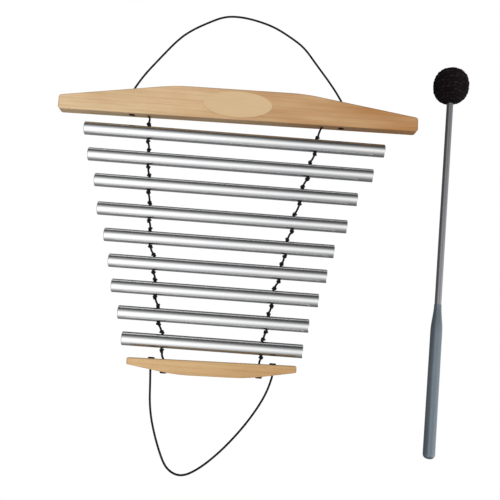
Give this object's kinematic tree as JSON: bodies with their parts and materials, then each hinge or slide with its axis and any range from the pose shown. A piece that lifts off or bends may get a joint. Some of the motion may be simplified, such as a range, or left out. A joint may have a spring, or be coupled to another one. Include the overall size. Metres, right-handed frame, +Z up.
{
  "type": "ladder bar chime",
  "caption": "Hanging ladder chime: graded metal tubes on two knotted cords between a large and a small wooden bar, with a cord loop at each end and a separate mallet.",
  "frame": {"origin": "crown of the upper cord loop, where the chime hangs from a hook", "axes": "+Z up against gravity, X along the tubes with the mallet on the +X side, the player stands on the -Y side"},
  "size_m": [0.3975, 0.036, 0.4428],
  "materials": {
    "wood": "satin, straight fine grain",
    "plate": "matt",
    "tube": "satin brushed",
    "cord": "matt braided",
    "rod": "satin",
    "grip": "satin",
    "core": "matt",
    "head_cover": "knitted, matt"
  },
  "bodies": {
    "hanging_loop": {"hanging_loop": "cord"},
    "top_bar": {"top_bar": "wood", "label_plate": "plate", "left_loop_knot": "cord", "right_loop_knot": "cord", "left_top_cord": "cord", "right_top_cord": "cord"},
    "tube_1": {"tube_1": "tube", "left_cord_1": "cord", "right_cord_1": "cord"},
    "tube_2": {"tube_2": "tube", "left_cord_2": "cord", "right_cord_2": "cord"},
    "tube_3": {"tube_3": "tube", "left_cord_3": "cord", "right_cord_3": "cord"},
    "tube_4": {"tube_4": "tube", "left_cord_4": "cord", "right_cord_4": "cord"},
    "tube_5": {"tube_5": "tube", "left_cord_5": "cord", "right_cord_5": "cord"},
    "tube_6": {"tube_6": "tube", "left_cord_6": "cord", "right_cord_6": "cord"},
    "tube_7": {"tube_7": "tube", "left_cord_7": "cord", "right_cord_7": "cord"},
    "tube_8": {"tube_8": "tube", "left_cord_8": "cord", "right_cord_8": "cord"},
    "tube_9": {"tube_9": "tube", "left_cord_9": "cord", "right_cord_9": "cord"},
    "lower_bar": {"lower_bar": "wood", "left_bottom_cord": "cord", "right_bottom_cord": "cord", "left_lower_loop_knot": "cord", "right_lower_loop_knot": "cord"},
    "lower_loop": {"lower_loop": "cord"},
    "mallet": {"mallet_rod": "rod", "mallet_grip": "grip", "mallet_core": "core", "mallet_head": "head_cover"}
  },
  "joints": [
    {"name": "bar_swing", "type": "hinge", "parent": "hanging_loop", "child": "top_bar", "pos_m": [-0.10168, 0, -0.08307], "axis": [0.9999, 0, 0.0161], "range_deg": [-30, 30]},
    {"name": "tube_1_swing", "type": "hinge", "parent": "top_bar", "child": "tube_1", "pos_m": [0, 0, -0.11317], "axis": [1, 0, 0], "range_deg": [-15, 15]},
    {"name": "tube_2_swing", "type": "hinge", "parent": "tube_1", "child": "tube_2", "pos_m": [0, 0, -0.13795], "axis": [1, 0, 0], "range_deg": [-15, 15]},
    {"name": "tube_3_swing", "type": "hinge", "parent": "tube_2", "child": "tube_3", "pos_m": [0, 0, -0.1629], "axis": [1, 0, 0], "range_deg": [-15, 15]},
    {"name": "tube_4_swing", "type": "hinge", "parent": "tube_3", "child": "tube_4", "pos_m": [0, 0, -0.1888], "axis": [1, 0, 0], "range_deg": [-15, 15]},
    {"name": "tube_5_swing", "type": "hinge", "parent": "tube_4", "child": "tube_5", "pos_m": [0, 0, -0.21475], "axis": [1, 0, 0], "range_deg": [-15, 15]},
    {"name": "tube_6_swing", "type": "hinge", "parent": "tube_5", "child": "tube_6", "pos_m": [0, 0, -0.23915], "axis": [1, 0, 0], "range_deg": [-15, 15]},
    {"name": "tube_7_swing", "type": "hinge", "parent": "tube_6", "child": "tube_7", "pos_m": [0, 0, -0.26285], "axis": [1, 0, 0], "range_deg": [-15, 15]},
    {"name": "tube_8_swing", "type": "hinge", "parent": "tube_7", "child": "tube_8", "pos_m": [0, 0, -0.28665], "axis": [1, 0, 0], "range_deg": [-15, 15]},
    {"name": "tube_9_swing", "type": "hinge", "parent": "tube_8", "child": "tube_9", "pos_m": [0, 0, -0.3107], "axis": [1, 0, 0], "range_deg": [-15, 15]},
    {"name": "lower_bar_swing", "type": "hinge", "parent": "tube_9", "child": "lower_bar", "pos_m": [0, 0, -0.3357], "axis": [1, 0, 0], "range_deg": [-15, 15]},
    {"name": "lower_loop_swing", "type": "hinge", "parent": "lower_bar", "child": "lower_loop", "pos_m": [-0.06097, 0, -0.34999], "axis": [0.9998, 0, 0.0202], "range_deg": [-45, 45]},
    {"name": "mallet_lift", "type": "slide", "parent": "hanging_loop", "child": "mallet", "axis": [0.0262, 0, 0.9997], "range_m": [0, 0.15]}
  ]
}
